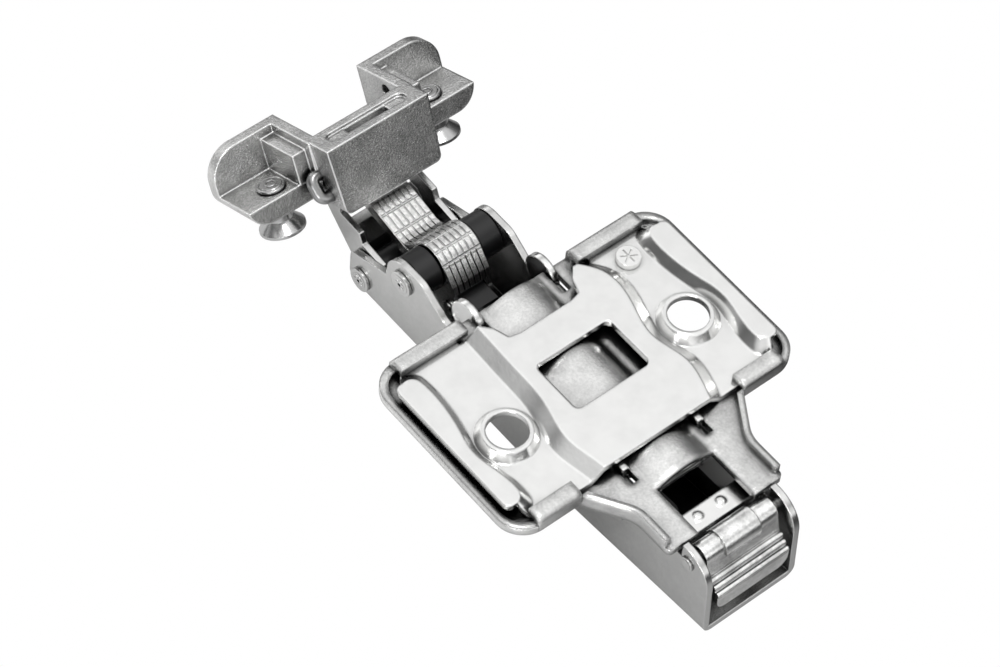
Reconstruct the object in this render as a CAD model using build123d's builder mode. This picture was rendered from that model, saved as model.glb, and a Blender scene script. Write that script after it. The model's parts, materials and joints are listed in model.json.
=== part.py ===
from build123d import *
from math import cos, sin, radians, hypot, atan2, degrees, sqrt
import os

os.makedirs("parts", exist_ok=True)

# Concealed hinge for a framed cabinet door, in millimetres.
# Origin: midway between the two screw holes, on the face that lies against the cabinet side.
# X points to the cabinet's front, Y along its height, Z out of the hinge into the cabinet side.

# Running fits and seats
fit = 0.05                      # a pin in the hole it turns or is held in
slide_gap = 0.05                # flat faces that slide on each other
seat_gap = 0.3                  # a curved or loose face beside another moving piece

# Base plate, the pressed sheet that is screwed to the cabinet side
base_sheet = 1.0
lane_depth = 1.6                # how far the lanes lie below the contact face
screw_pitch = 32.0
rim_hole_r = 2.96
rim_top_r = 3.6
rim_foot_r = 4.5
rim_drop = 0.15                 # the raised rims end this far below the contact face
base_front = 17.2
base_rear = -12.4
base_half_width = 22.4
base_corner_r = 3.6
strip_half_width = 24.0
strip_front = 14.2
strip_rear = -9.7
wall_run = 2.1                  # how far the sloping wall of the raised centre spreads
strip_run = 1.3
window_front = 5.8
window_rear = -3.2
window_half_width = 6.5
notch_depth_x = 11.2            # where the front notch ends
notch_half_width = 5.0
notch_mouth_half_width = 8.8
hem_relief_x = 15.5
hem_relief_width = 3.3

# Height adjuster, an eccentric riveted into the base plate
eccentric_x = 12.6
eccentric_y = -16.04
eccentric_throw = 1.5
eccentric_r = 2.0
eccentric_shaft_r = 1.3
eccentric_head_r = 1.75
eccentric_head_h = 1.0
driver_r = 2.9
driver_h = 1.1
height_travel = 1.15            # each way

# Carriage, the sheet under the base plate that the hems hook around it
carriage_sheet = 1.2
wing_half_width = 25.3
wing_corner_r = 4.5
rim_rise = 0.85                 # upturned edge above the wing
hem_reach = 1.3                 # how far a hem lies over the base plate
front_hem_sheet = 1.35
rear_hem_sheet = 1.1
wing_edge_r = 0.9
front_hem_y0 = 9.8
front_hem_y1 = 21.3
rear_hem_y0 = 14.3
rear_hem_y1 = 21.6
barrel_half_width = 5.1
barrel_crown_r = 9.0
barrel_top = -1.3
barrel_front = 18.2
barrel_rear = -17.9
barrel_sheet = 1.0
tail_half_width = 10.1
tail_rear = -26.5
tail_neck_x = -19.8
tail_mouth_half_width = 5.0
tail_rim_top = -1.2
tail_rim_sheet = 0.9
screw_clearance_r = 5.0

# Arm, a channel of folded sheet
arm_sheet = 1.0
arm_half_width = 8.2
arm_rear = -33.2
arm_web_front = 35.6
arm_kink_x = -4.0
arm_bottom_front = -19.6
arm_bottom_rear = -16.4
arm_top = -4.7
arm_heel_top = -2.2
arm_heel_r = 4.8
arm_heel_lean = 1.0
arm_bend_r = 1.6
ear_front_reach = 2.7           # past the outer link's pivot
ear_bottom_reach = 2.4
lobe_r = 3.5

# Pivots of the two links on the arm, as X and Z
outer_pivot = (40.3, -16.4)
inner_pivot = (31.6, -7.9)
inner_link_length = 16.34
inner_link_angle = 11.66        # degrees, from X towards Z, as the door stands part open
door_tilt = 25.3                # degrees that the door fitting is tipped forward in this pose
pin_gap_u = 1.6                 # outer link's pin from the inner link's, along the fitting
pin_gap_v = 3.1                 # and across it
door_pin_r = 0.9
wire_bend_r = 1.1
closing_angle = 65.0            # door turn from this pose to shut
opening_angle = 28.0            # and to fully open
outer_pin_r = 1.3
spacer_r = 2.3
inner_pin_r = 1.5
link_pin_r = 0.8
rivet_head_r = 1.9
rivet_head_h = 0.45

# Laminated inner link
leaf_count = 7
leaf_sheet = 0.96
leaf_eye_r = 3.8
leaf_play_hole_r = 2.6          # round the arm pin, wide enough for the play of this pivot
leaf_door_eye_r = 1.95
leaf_top_drop = 2.5             # the flat part lies this far below the line of the pivots
leaf_bar = 2.1
leaf_neck = 2.75
leaf_edge = 0.14
tail_pin_p = -5.36              # damper pin from the arm pivot, along the link
tail_pin_q = -3.69
tail_eye_r = 2.2
groove_r = 0.22
flat_grooves = (4.9, 7.45, 10.65, 13.2)
eye_grooves = 5
eye_groove_start = 25.0
eye_groove_span = 165.0

# Outer link, a folded channel
outer_half_width = 7.0
outer_sheet = 0.9
outer_link_eye_r = 3.0

# Door fitting, a zinc casting; u runs along its floor and v up through it from the inner pin
box_rear_u = -3.25
box_front_u = 2.1
box_top_v = 8.65
box_bottom_v = -2.2
box_half_width = 8.9
box_draft = 0.45
box_wall = 1.0
box_roof = 1.2
box_inner_half_width = 7.3
ear_front_u = 12.2
ear_wall = 1.8
ear_rear_u = 2.8
ear_half_width = 20.1
ear_top_r = 4.6
ear_bottom_r = 3.6
ear_bottom_v = -0.9
ear_floor_v = 2.3
side_wall_half_width = 7.5
side_wall = 1.6
gusset_half_width = 11.3
gusset_top_v = 7.2
gusset_front_u = 11.0
screw_u = 6.0
screw_y = 14.0
screw_r = 1.95
screw_head_r = 3.4
screw_head_rim_v = -4.5
screw_end_v = 2.9
slot_rear_u = -1.8
slot_front_u = 0.7
slot_half_width = 6.8
slot_depth = 0.5
through_half_width = 3.6

# Release lever at the arm's rear
lever_pin_x = -28.3
lever_pin_z = -4.9
lever_pin_r = 0.8
lever_barrel_r = 1.75
lever_half_width = 6.3
lever_gap_half_width = 3.1
lever_sheet = 1.0
lever_middle_r = 2.15
lever_step_top = 2.5            # the ribbed step, from the pin's middle
lever_step_drop = 2.4
lever_step = 2.3
lever_end_z = -12.4
lever_corner_r = 1.8
lever_coil = 0.65               # wire of the lever's coil spring
rib_r = 0.42
rib_count = 3

# Inner channel that carries the arm under the carriage
adapter_sheet = 1.0
adapter_front_x = 19.4
adapter_lug_z = -4.4
lug_r = 3.1
adapter_rear_x = -25.3
adapter_bottom = -11.0
leaf_plate_top = -5.3
leaf_plate_front = -22.0
dimple_x = -23.4
dimple_y = 2.0
dimple_r = 0.85
tab_front_x = -11.5
tab_rear_x = -13.5
depth_travel = 1.8
tab_top = -1.7
tie_pin_x = -14.55
tie_pin_z = -9.2
tie_pin_r = 1.0

# Damper in the arm
housing_rear_x = 2.0
housing_front_x = 21.0
housing_top = -8.6
damper_z = -13.0
cylinder_r = 3.3
cylinder_bore_r = 2.7
cylinder_wall = 1.2
cylinder_set_in = 0.5
cylinder_mouth = 4.0            # from the housing's front back to where the rod's hole starts
cylinder_mouth_length = 6.0
piston_set_in = 7.0
piston_length = 2.5
rod_set_in = 5.0
rod_r = 1.0
rod_gap = 0.1
slider_rear_x = 23.2
slider_eye_r = 2.1
slider_foot_rake = 0.6
slider_half_width = 2.25
slider_lift = 0.6               # room below the slider, which follows the link's tail

# Heights that follow from the sheets
lane_top = -lane_depth
lane_bottom = lane_top - base_sheet
wing_top = lane_bottom - slide_gap
wing_bottom = wing_top - carriage_sheet
hem_bottom = lane_top + slide_gap
screw_hole_y = screw_pitch / 2
flange_inner = arm_half_width - arm_sheet
adapter_half_width = flange_inner - 0.1
lug_slot_x = adapter_front_x - lug_r - depth_travel - seat_gap

# The fitting's pins and directions, worked out from the inner link and the tilt
tilt = radians(door_tilt)
lean = radians(inner_link_angle)
door_x = inner_pivot[0] + inner_link_length * cos(lean)
door_z = inner_pivot[1] + inner_link_length * sin(lean)
u_dir = (cos(tilt), 0, -sin(tilt))
outer_door_x = door_x + pin_gap_u * cos(tilt) + pin_gap_v * sin(tilt)
outer_door_z = door_z - pin_gap_u * sin(tilt) + pin_gap_v * cos(tilt)


def side_plane(x=0.0, z=0.0, y=0.0):
    """A plane seen from the hinge's side: its x is X, its y is Z, its normal is -Y."""
    return Plane(origin=(x, y, z), x_dir=(1, 0, 0), z_dir=(0, -1, 0))


def link_plane(y=0.0):
    """The inner link's own plane: x runs from the arm pivot to the door pivot."""
    origin = (inner_pivot[0], y, inner_pivot[1])
    return Plane(origin=origin, x_dir=(cos(lean), 0, sin(lean)), z_dir=(0, -1, 0))


def fitting_plane(y=0.0):
    """The door fitting's side plane: x is u, y is v, from the inner pin."""
    return Plane(origin=(door_x, y, door_z), x_dir=u_dir, z_dir=(0, -1, 0))


def fitting_front_plane(u):
    """A plane square to u: its x is Y and its y is v."""
    origin = (door_x + u * cos(tilt), 0, door_z - u * sin(tilt))
    return Plane(origin=origin, x_dir=(0, 1, 0), z_dir=u_dir)


def fitting_floor_plane(v):
    """A plane square to v: its x is u and its y is Y."""
    origin = (door_x + v * sin(tilt), 0, door_z + v * cos(tilt))
    return Plane(origin=origin, x_dir=u_dir, z_dir=(sin(tilt), 0, cos(tilt)))


def write(piece, label):
    """Names a finished piece and writes its STEP file."""
    piece.part.label = label
    export_step(piece.part, f"parts/{label}.step")


def centre_outline(spread):
    """Outline of the base plate's raised centre, whose sides bend around the screw rims."""
    reach = 30.0
    left = [(reach, 8.6), (14.0, 8.6), (7.0, 8.8), (0.5, 9.2)]
    left += [(-5.5, 10.5), (-10.0, 9.9), (-14.0, 9.2), (-reach, 9.0)]
    right = [(reach, 8.8), (15.6, 9.0), (12.4, 11.2), (7.0, 11.2)]
    right += [(0.0, 9.6), (-5.5, 10.7), (-10.0, 9.9), (-reach, 9.0)]
    upper = Spline([(x, y + spread) for x, y in left])
    lower = Spline([(x, -y - spread) for x, y in right])
    Line(upper @ 0, lower @ 0)
    Line(upper @ 1, lower @ 1)


def strip_outline(side, spread):
    """Outline of one raised strip along the base plate's outer edge."""
    out = 30.0
    front = strip_front + spread
    rear = strip_rear - spread
    wave = [(front - 1.2, 20.4), (9.0, 20.3), (4.0, 21.1), (0.0, 21.9), (-4.0, 21.3), (rear + 1.6, 20.9)]
    inner = Spline([(x, side * (y - spread)) for x, y in wave])
    front_bend = ThreePointArc(inner @ 0, (front - 0.3, side * (21.0 - spread)), (front, side * 22.2))
    rear_bend = ThreePointArc(inner @ 1, (rear + 0.4, side * (21.6 - spread)), (rear, side * 22.8))
    Polyline(front_bend @ 1, (front, side * out), (rear, side * out), rear_bend @ 1)


# Base plate
with BuildPart() as base_plate:
    with BuildSketch(Plane.XY.offset(lane_bottom)):
        with Locations(((base_front + base_rear) / 2, 0)):
            RectangleRounded(base_front - base_rear, 2 * base_half_width, base_corner_r)
    extrude(amount=base_sheet)
    # The raised centre and strips, each a sloping-sided island and the same hollow one sheet lower
    for drop, how in ((0, Mode.ADD), (base_sheet, Mode.SUBTRACT)):
        for island, spread in (("centre", wall_run), ("left", strip_run), ("right", strip_run)):
            for height, grow in ((lane_top - drop, spread), (-drop, 0)):
                with BuildSketch(Plane.XY.offset(height)) as outline:
                    with BuildLine():
                        if island == "centre":
                            centre_outline(grow)
                        else:
                            strip_outline(1 if island == "left" else -1, grow)
                    make_face()
            loft(mode=how)
        with Locations((0, screw_hole_y, lane_top - drop), (0, -screw_hole_y, lane_top - drop)):
            Cone(
                rim_foot_r,
                rim_top_r,
                lane_depth - rim_drop,
                align=(Align.CENTER, Align.CENTER, Align.MIN),
                mode=how,
            )
    # What is left of the hollows' ceilings below the sheet is cut away with the window and the edges
    with BuildSketch(Plane.XY.offset(lane_bottom)) as edge:
        with Locations(((base_front + base_rear) / 2, 0)):
            RectangleRounded(base_front - base_rear, 2 * base_half_width, base_corner_r)
        with Locations(((strip_front + strip_rear) / 2, 0)):
            RectangleRounded(strip_front - strip_rear, 2 * strip_half_width, 1.0)
    extrude(amount=-lane_bottom, mode=Mode.INTERSECT)
    with BuildSketch(Plane.XY):
        with Locations(((window_front + window_rear) / 2, 0)):
            RectangleRounded(window_front - window_rear, 2 * window_half_width, 1.0)
        with Locations((0, screw_hole_y), (0, -screw_hole_y)):
            Circle(rim_hole_r)
    extrude(amount=lane_bottom, mode=Mode.SUBTRACT)
    with BuildSketch(Plane.XY) as notch:
        with BuildLine():
            mouth = base_front + 1
            Polyline(
                (mouth, notch_mouth_half_width + 0.6),
                (base_front - 1.2, notch_mouth_half_width),
                (notch_depth_x + 2.6, notch_half_width + 1.9),
                (notch_depth_x + 0.4, notch_half_width + 1.2),
                (notch_depth_x, notch_half_width - 0.6),
                (notch_depth_x, -notch_half_width + 0.6),
                (notch_depth_x + 0.4, -notch_half_width - 1.2),
                (notch_depth_x + 2.6, -notch_half_width - 1.9),
                (base_front - 1.2, -notch_mouth_half_width),
                (mouth, -notch_mouth_half_width - 0.6),
                close=True,
            )
        make_face()
    extrude(amount=lane_bottom, mode=Mode.SUBTRACT)
    with BuildSketch(Plane.XY):
        # Relief beside the raised centre, where the front hems travel
        relief_y = front_hem_y0 - height_travel - seat_gap
        with Locations((hem_relief_x, relief_y), (hem_relief_x, -relief_y - hem_relief_width)):
            Rectangle(5, hem_relief_width, align=(Align.MIN, Align.MIN))
        with Locations((eccentric_x, eccentric_y)):
            Circle(eccentric_shaft_r + fit)
    extrude(amount=lane_bottom, mode=Mode.SUBTRACT)
write(base_plate, "base_plate")

# Height adjuster: riveted head on the base plate, eccentric in the carriage's slot, driver below
with BuildPart() as height_eccentric:
    with BuildSketch(Plane.XY.offset(lane_top + slide_gap)):
        with Locations((eccentric_x, eccentric_y)):
            Circle(eccentric_head_r)
    extrude(amount=eccentric_head_h)
    with BuildSketch(Plane.XY.offset(lane_top + slide_gap + eccentric_head_h)):
        with Locations((eccentric_x, eccentric_y)):
            with PolarLocations(0, 6):
                Rectangle(eccentric_head_r * 0.7, 0.22, align=(Align.MIN, Align.CENTER))
    extrude(amount=-0.25, mode=Mode.SUBTRACT)
    with BuildSketch(Plane.XY.offset(lane_top + slide_gap)):
        with Locations((eccentric_x, eccentric_y)):
            Circle(eccentric_shaft_r)
    extrude(amount=-base_sheet - 2 * slide_gap)
    with BuildSketch(Plane.XY.offset(wing_top)):
        with Locations((eccentric_x + eccentric_throw, eccentric_y)):
            Circle(eccentric_r)
    extrude(amount=-carriage_sheet - slide_gap)
    with BuildSketch(Plane.XY.offset(wing_bottom - slide_gap)):
        with Locations((eccentric_x, eccentric_y)):
            Circle(driver_r)
    extrude(amount=-driver_h)
    with BuildSketch(Plane.XY.offset(wing_bottom - slide_gap - driver_h)):
        with Locations((eccentric_x, eccentric_y)):
            Rectangle(3.8, 0.9)
            Rectangle(0.9, 3.8)
    extrude(amount=0.7, mode=Mode.SUBTRACT)
write(height_eccentric, "height_eccentric")

# Carriage plate: wings with upturned edges, four hems, the barrel and the tail
with BuildPart() as carriage_plate:
    wing_front = base_front + slide_gap + front_hem_sheet
    wing_rear = base_rear - slide_gap - rear_hem_sheet
    rim_front = base_front + slide_gap
    rim_rear = base_rear - slide_gap
    with BuildSketch(Plane.XY.offset(wing_bottom)) as wings:
        with Locations(((wing_front + wing_rear) / 2, 0)):
            RectangleRounded(wing_front - wing_rear, 2 * wing_half_width, wing_corner_r)
    extrude(amount=carriage_sheet + rim_rise)
    fillet(carriage_plate.edges().group_by(Axis.Z)[0], wing_edge_r)
    with BuildSketch(Plane.XY.offset(wing_top)):
        with Locations(((wing_front + wing_rear) / 2, 0)):
            Rectangle(wing_front - wing_rear + 2, 2 * (wing_half_width - wing_corner_r))
        with Locations(((rim_front + rim_rear) / 2, 0)):
            inner_r = wing_corner_r - rear_hem_sheet
            RectangleRounded(rim_front - rim_rear, 2 * (wing_half_width - rear_hem_sheet), inner_r)
    extrude(amount=rim_rise + 1, mode=Mode.SUBTRACT)
    # The tail with its upturned sides
    with BuildSketch(Plane.XY.offset(wing_bottom)) as tail:
        with BuildLine():
            Polyline(
                (0, rear_hem_y0),
                (wing_rear + 0.2, rear_hem_y0),
                (tail_neck_x, tail_half_width),
                (tail_rear, tail_half_width),
                (tail_rear, -tail_half_width),
                (tail_neck_x, -tail_half_width),
                (wing_rear + 0.2, -rear_hem_y0),
                (0, -rear_hem_y0),
                close=True,
            )
        make_face()
        fillet(tail.vertices().sort_by(Axis.X)[0:2], 0.8)
        fillet(tail.vertices().filter_by(lambda p: abs(p.X - tail_neck_x) < 0.01), 5.0)
    extrude(amount=carriage_sheet)
    with BuildSketch(Plane.XY.offset(wing_top)) as tail_rim:
        for side in (1, -1):
            with BuildLine():
                Polyline(
                    (wing_rear + 0.2, side * rear_hem_y0),
                    (tail_neck_x, side * tail_half_width),
                    (tail_rear + 0.9, side * tail_half_width),
                    (tail_rear + 0.9, side * (tail_half_width - tail_rim_sheet)),
                    (tail_neck_x + 0.2, side * (tail_half_width - tail_rim_sheet)),
                    (wing_rear + 0.2, side * (rear_hem_y0 - tail_rim_sheet - 0.2)),
                    close=True,
                )
            make_face()
        fillet(tail_rim.vertices().filter_by(lambda p: abs(p.X - tail_neck_x) < 0.3), 5.0)
    extrude(amount=tail_rim_top - wing_top)
    # Barrel, a crowned half pipe pressed up out of the sheet
    for shrink, how in ((0, Mode.ADD), (barrel_sheet, Mode.SUBTRACT)):
        half = barrel_half_width - shrink
        top = barrel_top - shrink
        with BuildSketch(Plane.YZ.offset(barrel_rear)) as arch:
            with Locations((0, top)):
                Rectangle(2 * half, top - wing_bottom, align=(Align.CENTER, Align.MAX))
            fillet(arch.vertices().group_by(Axis.Y)[-1], (top - wing_bottom) * 0.55)
            with Locations((0, top - barrel_crown_r + shrink)):
                Circle(barrel_crown_r - shrink, mode=Mode.INTERSECT)
        extrude(amount=barrel_front - barrel_rear, mode=how)
    # Mouth behind the barrel, open to the rear
    with BuildSketch(Plane.XY.offset(wing_bottom)):
        with Locations((barrel_rear, 0)):
            Rectangle(barrel_rear - tail_rear + 4, 2 * tail_mouth_half_width, align=(Align.MAX, Align.CENTER))
    extrude(amount=carriage_sheet + 3, mode=Mode.SUBTRACT)
    # Hems folded over the base plate's front and rear edges
    for edge_x, way, low, high, hem_sheet in (
        (base_front, 1, front_hem_y0, front_hem_y1, front_hem_sheet),
        (base_rear, -1, rear_hem_y0, rear_hem_y1, rear_hem_sheet),
    ):
        wall = edge_x + way * slide_gap
        hem_top = hem_bottom + hem_sheet
        for side in (1, -1):
            start = low if side > 0 else -high
            with BuildSketch(side_plane(y=start)) as hem:
                with BuildLine():
                    outer = wall + way * hem_sheet
                    Polyline(
                        (wall, wing_top - 0.3),
                        (wall, hem_bottom),
                        (edge_x - way * hem_reach, hem_bottom),
                        (edge_x - way * hem_reach, hem_top),
                        (outer, hem_top),
                        (outer, wing_top - 0.2),
                        close=True,
                    )
                make_face()
                crown = hem.vertices().group_by(Axis.Y)[-1]
                fillet(crown.sort_by(Axis.X)[-1 if way > 0 else 0], hem_sheet * 0.85)
                fillet(crown.sort_by(Axis.X)[0 if way > 0 else -1], hem_sheet * 0.35)
            extrude(amount=-(high - low))
    # Holes for the cabinet screws, the eccentric and the inner channel's tabs
    with BuildSketch(Plane.XY.offset(wing_top)):
        with Locations((0, screw_hole_y), (0, -screw_hole_y)):
            Circle(screw_clearance_r)
        with Locations((eccentric_x + eccentric_throw - 0.25, eccentric_y)):
            SlotCenterToCenter(1.2, 2 * (eccentric_r + 0.1))
        wall_y = adapter_half_width - adapter_sheet / 2
        with Locations((tab_front_x + 0.1, wall_y), (tab_front_x + 0.1, -wall_y)):
            Rectangle(
                tab_front_x - tab_rear_x + depth_travel + 0.2,
                adapter_sheet + 0.5,
                align=(Align.MAX, Align.CENTER),
            )
        with Locations((lug_slot_x, wall_y), (lug_slot_x, -wall_y)):
            Rectangle(10, adapter_sheet + 0.5, align=(Align.MIN, Align.CENTER))
    extrude(amount=-carriage_sheet, mode=Mode.SUBTRACT)
write(carriage_plate, "carriage_plate")

# Arm: flanges as one outline, hollowed to a channel with its web at the bottom
with BuildPart() as arm_channel:
    ear_bottom = outer_pivot[1] - ear_bottom_reach
    ear_tip = outer_pivot[0] + ear_front_reach
    with BuildSketch(side_plane()) as flange:
        with BuildLine():
            lobe_side = inner_pivot[0] + lobe_r
            Polyline(
                (arm_rear, arm_bottom_rear),
                (arm_rear + arm_heel_lean, arm_heel_top),
                (tail_rear - 0.5, arm_heel_top),
                (tail_rear - 0.5, arm_top),
                (10.0, arm_top),
                (13.5, arm_top - 2.8),
                (22.8, arm_top - 2.8),
                (27.8, inner_pivot[1] + lobe_r),
                (inner_pivot[0], inner_pivot[1] + lobe_r),
            )
            ThreePointArc(
                (inner_pivot[0], inner_pivot[1] + lobe_r),
                (inner_pivot[0] + lobe_r * sin(radians(45)), inner_pivot[1] + lobe_r * cos(radians(45))),
                (lobe_side, inner_pivot[1]),
            )
            Polyline(
                (lobe_side, inner_pivot[1]),
                (lobe_side + 0.2, inner_pivot[1] - 2.0),
                (ear_tip, outer_pivot[1] + 3.7),
                (ear_tip, ear_bottom),
                (arm_web_front, ear_bottom),
                (arm_web_front, arm_bottom_front),
                (arm_kink_x, arm_bottom_front),
                (arm_rear, arm_bottom_rear),
            )
        make_face()
        fillet(flange.vertices().sort_by_distance((arm_rear + arm_heel_lean, arm_heel_top))[0], arm_heel_r)
        fillet(flange.vertices().sort_by_distance((ear_tip, ear_bottom))[0], ear_bottom_reach)
        fillet(flange.vertices().sort_by_distance((ear_tip, outer_pivot[1] + 3.7))[0], 1.0)
        corners = (
            ((22.8, arm_top - 2.8), 2.0),
            ((27.8, inner_pivot[1] + lobe_r), 3.0),
            ((13.5, arm_top - 2.8), 1.5),
            ((10.0, arm_top), 1.5),
        )
        for corner, radius in corners:
            fillet(flange.vertices().sort_by_distance(corner)[0], radius)
    extrude(amount=arm_half_width, both=True)
    fold_z = (arm_bottom_rear + arm_bottom_front) / 2 + 1.2
    long_edges = arm_channel.edges().filter_by(lambda e: e.length > 25 and e.center().Z < fold_z)
    fillet(long_edges, arm_bend_r)
    with BuildSketch(side_plane()):
        with BuildLine():
            inside_bottom = arm_bottom_front + arm_sheet
            slope = (arm_bottom_rear - arm_bottom_front) / (arm_rear - arm_kink_x)
            Polyline(
                (ear_tip + 5, ear_bottom - 1),
                (arm_web_front, ear_bottom - 1),
                (arm_web_front, inside_bottom),
                (arm_kink_x, inside_bottom),
                (arm_rear - 5, inside_bottom + slope * (arm_rear - 5 - arm_kink_x)),
                (arm_rear - 5, 5),
                (ear_tip + 5, 5),
                close=True,
            )
        make_face()
    extrude(amount=flange_inner, both=True, mode=Mode.SUBTRACT)
    # Pivot holes through both flanges
    with BuildSketch(side_plane()):
        with Locations(outer_pivot):
            Circle(outer_pin_r + fit)
        with Locations(inner_pivot):
            Circle(inner_pin_r + fit)
        with Locations((tie_pin_x, tie_pin_z)):
            Circle(tie_pin_r + fit)
        with Locations((lever_pin_x, lever_pin_z)):
            Circle(lever_pin_r + fit)
    extrude(amount=arm_half_width, both=True, mode=Mode.SUBTRACT)
    # Opening in the web for the adjusting tool
    with BuildSketch(Plane.XY.offset(arm_bottom_front)):
        with Locations((-12.0, 0)):
            SlotCenterToCenter(5.0, 6.0)
    extrude(amount=4.5, mode=Mode.SUBTRACT)
write(arm_channel, "arm_channel")

# Inner channel under the carriage: side walls with round front lugs, rear plate with two dimples
with BuildPart() as adapter:
    wall_outer = adapter_half_width
    with BuildSketch(side_plane()) as wall:
        with Locations((adapter_front_x, adapter_lug_z)):
            Circle(lug_r)
        with BuildLine():
            top = wing_bottom - slide_gap
            Polyline(
                (adapter_front_x - 1.5, top),
                (adapter_rear_x, top),
                (adapter_rear_x, adapter_bottom + 3.5),
                (adapter_rear_x + 4, adapter_bottom),
                (8.0, adapter_bottom),
                (adapter_front_x - 1.5, adapter_lug_z - lug_r + 0.1),
                close=True,
            )
        make_face()
    extrude(amount=wall_outer, both=True)
    with BuildSketch(side_plane()):
        with Locations((0, -40)):
            Rectangle(120, 80 + 2 * (top - adapter_sheet), align=(Align.CENTER, Align.MIN))
    extrude(amount=wall_outer - adapter_sheet, both=True, mode=Mode.SUBTRACT)
    # The web is left from behind the barrel's front to the opening, and open under the barrel's mouth
    with BuildSketch(Plane.XY.offset(top)):
        with Locations((adapter_front_x + 6, 0)):
            Rectangle(14, 2 * (wall_outer - adapter_sheet), align=(Align.MAX, Align.CENTER))
        with Locations((-16.5, 0)):
            Rectangle(14, 2 * (wall_outer - adapter_sheet), align=(Align.MAX, Align.CENTER))
    extrude(amount=-adapter_sheet, mode=Mode.SUBTRACT)
    with BuildSketch(Plane.XY.offset(leaf_plate_top)) as rear_plate:
        with Locations((leaf_plate_front, 0)):
            Rectangle(leaf_plate_front - adapter_rear_x, 2 * wall_outer, align=(Align.MAX, Align.CENTER))
    extrude(amount=-adapter_sheet)
    with BuildSketch(Plane.XY.offset(leaf_plate_top)) as above_rear:
        with Locations((-18.5, 0)):
            Rectangle(14, 30, align=(Align.MAX, Align.CENTER))
    extrude(amount=6, mode=Mode.SUBTRACT)
    with Locations((dimple_x, dimple_y, leaf_plate_top), (dimple_x, -dimple_y, leaf_plate_top)):
        Cone(dimple_r, dimple_r * 0.55, 0.3, align=(Align.CENTER, Align.CENTER, Align.MIN))
    # Tabs that reach up through the carriage's slots
    for side in (1, -1):
        with BuildSketch(side_plane(y=side * (wall_outer - adapter_sheet / 2))):
            with Locations(((tab_front_x + tab_rear_x) / 2, top - 0.5)):
                Rectangle(tab_front_x - tab_rear_x, tab_top - top + 0.5, align=(Align.CENTER, Align.MIN))
        extrude(amount=adapter_sheet / 2, both=True)
    with BuildSketch(side_plane()):
        with Locations((tie_pin_x, tie_pin_z)):
            Circle(tie_pin_r + fit)
    extrude(amount=wall_outer, both=True, mode=Mode.SUBTRACT)
write(adapter, "adapter")


def cross_pin(x, z, radius, half_length, head_r=0.0, head_h=0.0):
    """A straight pin across the hinge, with a low round head at each end where it has one."""
    with Locations((x, 0, z)):
        Cylinder(radius, 2 * half_length, rotation=(90, 0, 0))
    if head_h > 0:
        at = half_length + fit + head_h / 2
        with Locations((x, at, z), (x, -at, z)):
            Cylinder(head_r, head_h, rotation=(90, 0, 0))
            Cylinder(radius, head_h + 2 * fit, rotation=(90, 0, 0))


# Riveted pins across the arm
with BuildPart() as outer_link_pin:
    cross_pin(*outer_pivot, outer_pin_r, arm_half_width, rivet_head_r, rivet_head_h)
write(outer_link_pin, "outer_link_pin")

with BuildPart() as inner_link_pin:
    cross_pin(*inner_pivot, inner_pin_r, arm_half_width, rivet_head_r + 0.15, rivet_head_h)
write(inner_link_pin, "inner_link_pin")

with BuildPart() as tie_pin:
    cross_pin(tie_pin_x, tie_pin_z, tie_pin_r, arm_half_width, tie_pin_r + 0.4, 0.3)
write(tie_pin, "tie_pin")

with BuildPart() as lever_pin:
    cross_pin(lever_pin_x, lever_pin_z, lever_pin_r, arm_half_width, lever_pin_r + 0.35, 0.25)
write(lever_pin, "lever_pin")

# Plastic sleeves that keep the laminated link central on its pin
stack_half_width = leaf_count * leaf_sheet / 2
for side, label in ((1, "left_pivot_sleeve"), (-1, "right_pivot_sleeve")):
    with BuildPart() as sleeve:
        with BuildSketch(side_plane(*inner_pivot, side * (stack_half_width + 0.15))):
            Circle(lobe_r - 0.15)
            Circle(inner_pin_r + fit, mode=Mode.SUBTRACT)
        extrude(amount=-side * (flange_inner - 0.05 - stack_half_width - 0.15))
        chamfer(sleeve.edges().filter_by(GeomType.CIRCLE).group_by(SortBy.RADIUS)[-1], 0.2)
    write(sleeve, label)

# Plastic spacer between the outer link's plates
with BuildPart() as outer_pivot_spacer:
    with BuildSketch(side_plane(*outer_pivot)):
        Circle(spacer_r)
        Circle(outer_pin_r + fit, mode=Mode.SUBTRACT)
    extrude(amount=outer_half_width - outer_sheet - fit, both=True)
    chamfer(outer_pivot_spacer.edges().filter_by(GeomType.CIRCLE).group_by(SortBy.RADIUS)[-1], 0.2)
write(outer_pivot_spacer, "outer_pivot_spacer")

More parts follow.
